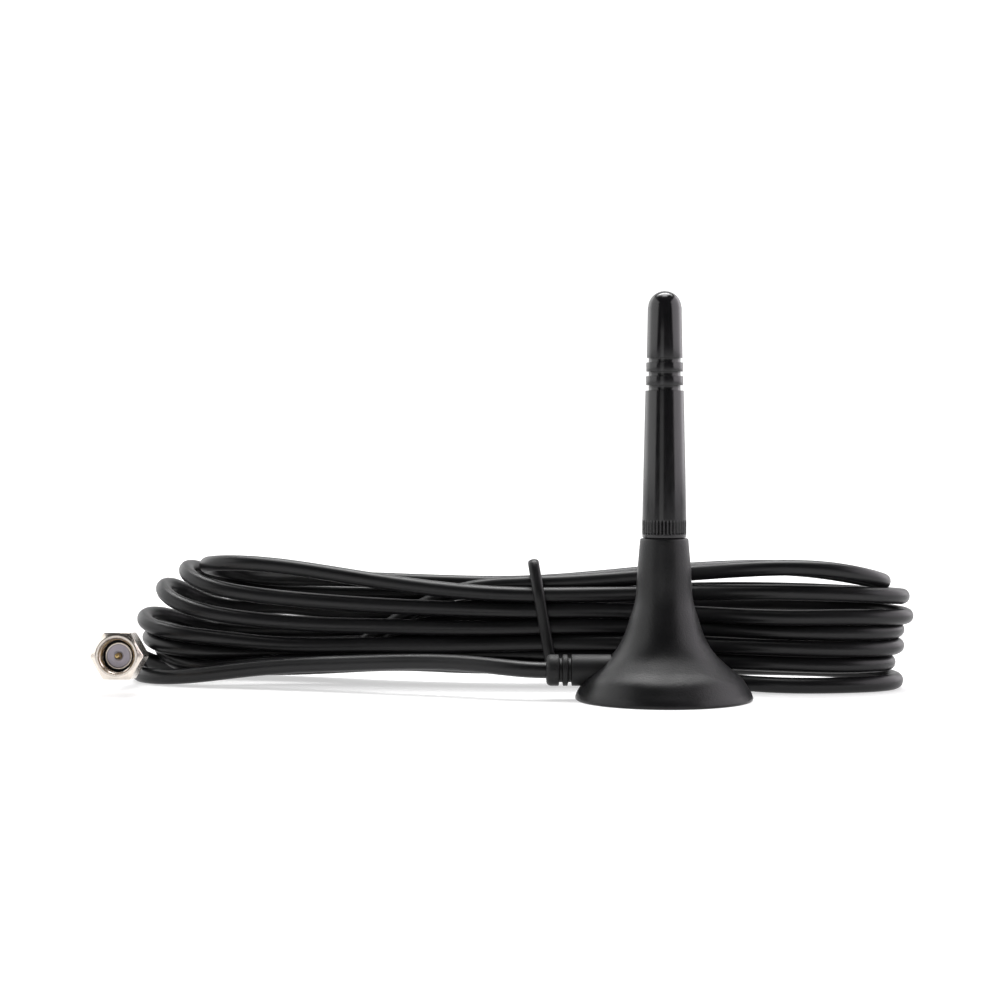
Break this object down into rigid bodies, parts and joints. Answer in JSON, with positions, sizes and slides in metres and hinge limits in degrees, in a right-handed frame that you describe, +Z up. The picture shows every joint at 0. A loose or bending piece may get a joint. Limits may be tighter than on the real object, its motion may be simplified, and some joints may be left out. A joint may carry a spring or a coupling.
{
  "type": "magnetic mount whip antenna",
  "caption": "Stubby cellular whip screwed into a flared magnetic base, with a thin coaxial lead coiled in a tied hank and ending in a threaded plug.",
  "frame": {"origin": "centre of the underside of the magnetic base, on the surface that it stands on", "axes": "+Z up along the whip, the lead leaves the base towards -X, the coiled lead lies towards +Y"},
  "size_m": [0.1438, 0.0568, 0.0689],
  "materials": {
    "base_plastic": "satin black moulded plastic with a fine texture",
    "whip_plastic": "glossy black moulded plastic",
    "rubber": "matt black rubber",
    "cable_jacket": "satin black flexible PVC",
    "tie_plastic": "black plastic-coated wire tie",
    "nickel": "bright nickel plating, slightly warm",
    "gold": "gold plating",
    "brass": "turned brass",
    "steel": "zinc-plated steel",
    "magnet": "dark sintered magnet",
    "copper": "bare copper wire",
    "insulator": "off-white insulating plastic"
  },
  "bodies": {
    "base": {"base_housing": "base_plastic", "bottom_pad": "rubber", "magnet": "magnet", "steel_plate": "steel", "threaded_socket": "brass", "insulating_bush": "insulator", "strain_relief": "rubber", "cable_jacket_end": "cable_jacket", "braid_ring": "copper", "coax_core": "insulator", "centre_wire": "copper", "plug_body": "nickel", "snap_ring": "steel", "plug_gasket": "rubber", "plug_insulator": "insulator", "centre_pin": "gold", "crimp_ferrule": "nickel", "heat_shrink": "rubber", "cable_lead": "cable_jacket", "cable_tail": "cable_jacket", "cable_hank": "cable_jacket", "twist_tie": "tie_plastic"},
    "washer": {"seal_washer": "rubber"},
    "whip": {"whip_sleeve": "whip_plastic", "whip_ferrule": "brass", "coil_former": "insulator", "antenna_coil": "copper"},
    "plug_nut": {"coupling_nut": "nickel"}
  },
  "joints": [
    {"name": "whip_lift", "type": "slide", "parent": "base", "child": "washer", "axis": [0, 0, 1], "range_m": [0, 0.004]},
    {"name": "whip_unscrew", "type": "hinge", "parent": "washer", "child": "whip", "pos_m": [0, 0, 0.0277], "axis": [0, 0, 1], "range_deg": [0, 2058]},
    {"name": "nut_turn", "type": "hinge", "parent": "base", "child": "plug_nut", "pos_m": [-0.0932, 0.004, 0.00695], "axis": [0, -0.9976, 0.0698], "continuous": true}
  ],
  "couplings": [
    {"joint": "whip_unscrew", "follows": "whip_lift", "rad_per_m": 8976}
  ]
}
